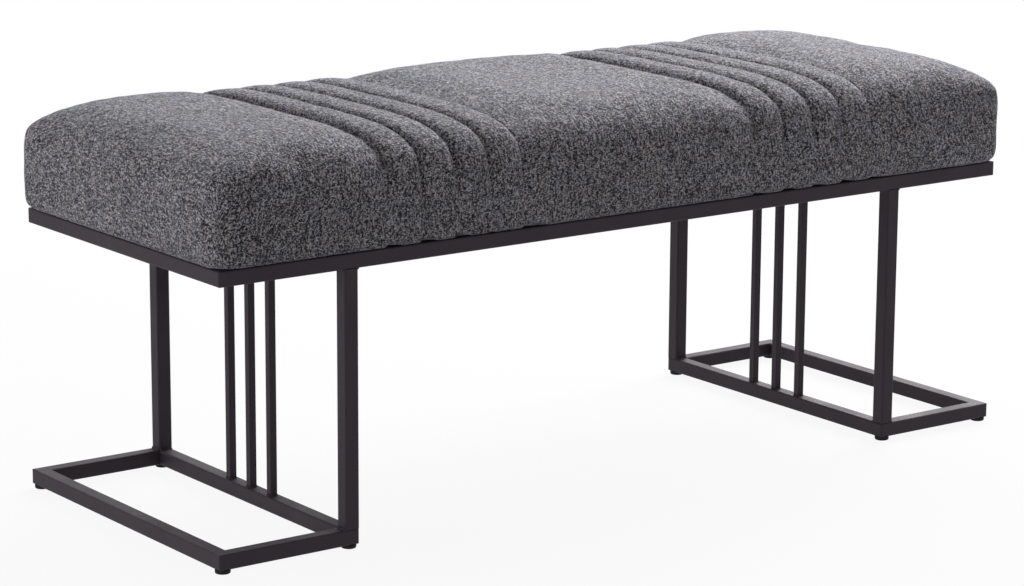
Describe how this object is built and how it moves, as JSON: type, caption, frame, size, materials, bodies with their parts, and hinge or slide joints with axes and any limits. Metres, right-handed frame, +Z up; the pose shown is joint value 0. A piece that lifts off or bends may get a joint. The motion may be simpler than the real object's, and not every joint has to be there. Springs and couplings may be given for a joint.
{
  "type": "upholstered banquette bench",
  "caption": "Long bench with a crowned, channel-sewn cushion on a square-tube frame, carried by open rectangular foot rings with levelling feet.",
  "frame": {"origin": "on the floor under the middle of the bench, at the centre of its bounding box's bottom", "axes": "+X along the bench to the right, +Y to its rear, +Z up"},
  "size_m": [1.218, 0.468, 0.496],
  "materials": {
    "frame_coating": "satin black powder coat",
    "pad_plastic": "matt black plastic",
    "plated_steel": "zinc-plated steel",
    "plywood": "raw birch plywood",
    "foam": "cream upholstery foam",
    "cover_cloth": "charcoal and grey melange woven cloth",
    "dust_cloth": "black non-woven dust cover"
  },
  "bodies": {
    "bench": {"front_rail": "frame_coating", "rear_rail": "frame_coating", "left_end_rail": "frame_coating", "right_end_rail": "frame_coating", "left_cross_rail": "frame_coating", "right_cross_rail": "frame_coating", "seat_tabs": "frame_coating", "left_outer_ring_bar": "frame_coating", "left_inner_ring_bar": "frame_coating", "left_front_ring_bar": "frame_coating", "left_rear_ring_bar": "frame_coating", "right_outer_ring_bar": "frame_coating", "right_inner_ring_bar": "frame_coating", "right_front_ring_bar": "frame_coating", "right_rear_ring_bar": "frame_coating", "left_front_post": "frame_coating", "left_rear_post": "frame_coating", "right_front_post": "frame_coating", "right_rear_post": "frame_coating", "left_front_bar": "frame_coating", "left_middle_bar": "frame_coating", "left_rear_bar": "frame_coating", "right_front_bar": "frame_coating", "right_middle_bar": "frame_coating", "right_rear_bar": "frame_coating", "threaded_inserts": "plated_steel", "seat_board": "plywood", "foam_core": "foam", "seat_cover": "cover_cloth", "dust_cover": "dust_cloth", "tab_screws": "plated_steel", "cross_rail_screws": "plated_steel", "tee_nuts": "plated_steel"},
    "left_outer_front_foot": {"left_outer_front_pad": "pad_plastic", "left_outer_front_stud": "plated_steel"},
    "left_outer_rear_foot": {"left_outer_rear_pad": "pad_plastic", "left_outer_rear_stud": "plated_steel"},
    "left_inner_front_foot": {"left_inner_front_pad": "pad_plastic", "left_inner_front_stud": "plated_steel"},
    "left_inner_rear_foot": {"left_inner_rear_pad": "pad_plastic", "left_inner_rear_stud": "plated_steel"},
    "right_outer_front_foot": {"right_outer_front_pad": "pad_plastic", "right_outer_front_stud": "plated_steel"},
    "right_outer_rear_foot": {"right_outer_rear_pad": "pad_plastic", "right_outer_rear_stud": "plated_steel"},
    "right_inner_front_foot": {"right_inner_front_pad": "pad_plastic", "right_inner_front_stud": "plated_steel"},
    "right_inner_rear_foot": {"right_inner_rear_pad": "pad_plastic", "right_inner_rear_stud": "plated_steel"}
  },
  "joints": [
    {"name": "left_outer_front_level", "type": "slide", "parent": "bench", "child": "left_outer_front_foot", "axis": [0, 0, -1], "range_m": [0, 0.006]},
    {"name": "left_outer_rear_level", "type": "slide", "parent": "bench", "child": "left_outer_rear_foot", "axis": [0, 0, -1], "range_m": [0, 0.006]},
    {"name": "left_inner_front_level", "type": "slide", "parent": "bench", "child": "left_inner_front_foot", "axis": [0, 0, -1], "range_m": [0, 0.006]},
    {"name": "left_inner_rear_level", "type": "slide", "parent": "bench", "child": "left_inner_rear_foot", "axis": [0, 0, -1], "range_m": [0, 0.006]},
    {"name": "right_outer_front_level", "type": "slide", "parent": "bench", "child": "right_outer_front_foot", "axis": [0, 0, -1], "range_m": [0, 0.006]},
    {"name": "right_outer_rear_level", "type": "slide", "parent": "bench", "child": "right_outer_rear_foot", "axis": [0, 0, -1], "range_m": [0, 0.006]},
    {"name": "right_inner_front_level", "type": "slide", "parent": "bench", "child": "right_inner_front_foot", "axis": [0, 0, -1], "range_m": [0, 0.006]},
    {"name": "right_inner_rear_level", "type": "slide", "parent": "bench", "child": "right_inner_rear_foot", "axis": [0, 0, -1], "range_m": [0, 0.006]}
  ]
}
